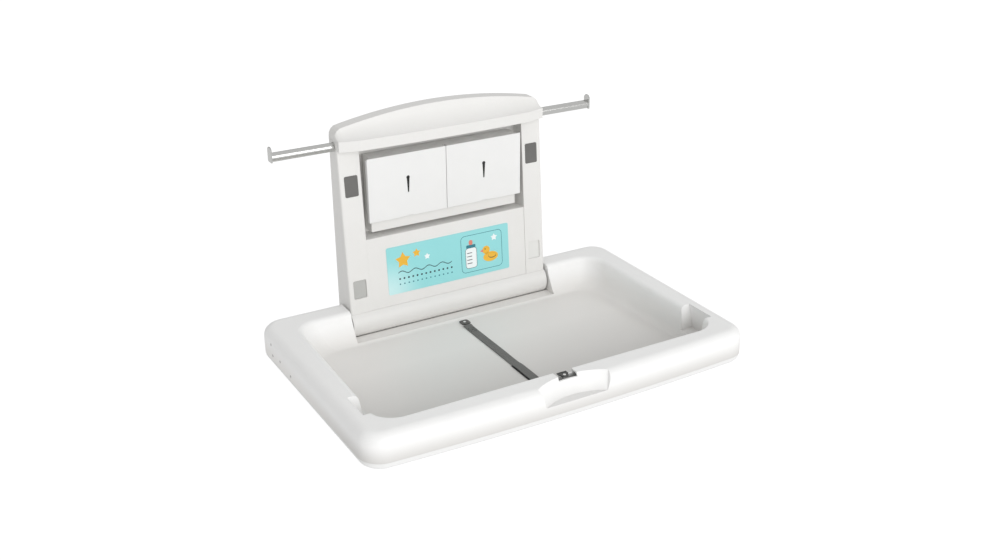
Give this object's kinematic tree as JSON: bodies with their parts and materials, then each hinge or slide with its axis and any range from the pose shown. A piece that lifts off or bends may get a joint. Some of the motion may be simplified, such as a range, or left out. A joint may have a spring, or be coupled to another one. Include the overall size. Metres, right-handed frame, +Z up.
{
  "type": "changing table",
  "caption": "Wall-mounted folding baby changing table: moulded basin bed on a hinge, housing with liner box and two lift doors, bag bar and safety strap.",
  "frame": {"origin": "centre of the four wall bolts, on the wall's surface", "axes": "+X along the wall to the right, +Y into the wall, +Z up"},
  "size_m": [0.86, 0.57, 0.5136],
  "materials": {
    "white_plastic": "satin moulded ABS, fine texture",
    "pale_grey_plastic": "matte moulded plastic",
    "black_plastic": "matte black acetal",
    "grey_rubber": "matte grey rubber",
    "blue_label": "printed and laminated",
    "zinc_steel": "zinc-plated steel",
    "bright_steel": "bright steel",
    "polished_steel": "polished stainless tube",
    "dark_steel": "dark plated steel",
    "cast_aluminium": "as cast and machined",
    "grey_webbing": "woven polyester, plain weave",
    "black_webbing": "woven polyester, plain weave"
  },
  "bodies": {
    "wall_unit": {"wall_plate": "zinc_steel", "housing_shell": "white_plastic", "top_cap": "white_plastic", "hinge_cover": "white_plastic", "bumper_caps": "grey_rubber", "pocket_caps": "pale_grey_plastic", "label_plate": "blue_label", "dispenser_box": "white_plastic", "guide_rods": "bright_steel", "hook_bar": "polished_steel", "bar_end_plates": "polished_steel", "bar_clamps": "zinc_steel", "clamp_screws": "bright_steel", "hinge_brackets": "zinc_steel", "hinge_shaft": "bright_steel", "shaft_clips": "bright_steel", "damper_bodies": "black_plastic"},
    "bed": {"bed_top_shell": "white_plastic", "bed_bottom_shell": "white_plastic", "bearing_blocks": "cast_aluminium", "shaft_bushes": "black_plastic", "damper_rotors": "zinc_steel", "frame_arms": "zinc_steel", "frame_crossbars": "zinc_steel", "frame_bolts": "bright_steel", "side_plates": "zinc_steel", "side_screws": "bright_steel", "bottom_screws": "bright_steel", "rear_buffers": "grey_rubber", "strap_buttons": "white_plastic", "rear_strap_loop": "dark_steel", "front_strap_loop": "dark_steel", "strap_webbing": "grey_webbing", "strap_tail": "black_webbing", "strap_adjuster": "black_plastic"},
    "left_flap": {"left_door": "white_plastic", "left_lock": "black_plastic"},
    "right_flap": {"right_door": "white_plastic", "right_lock": "black_plastic"}
  },
  "joints": [
    {"name": "bed_fold", "type": "hinge", "parent": "wall_unit", "child": "bed", "pos_m": [0, -0.044, -0.193], "axis": [-1, 0, 0], "range_deg": [0, 90]},
    {"name": "left_door_lift", "type": "slide", "parent": "wall_unit", "child": "left_flap", "axis": [0, 0, 1], "range_m": [0, 0.04]},
    {"name": "right_door_lift", "type": "slide", "parent": "wall_unit", "child": "right_flap", "axis": [0, 0, 1], "range_m": [0, 0.04]}
  ]
}
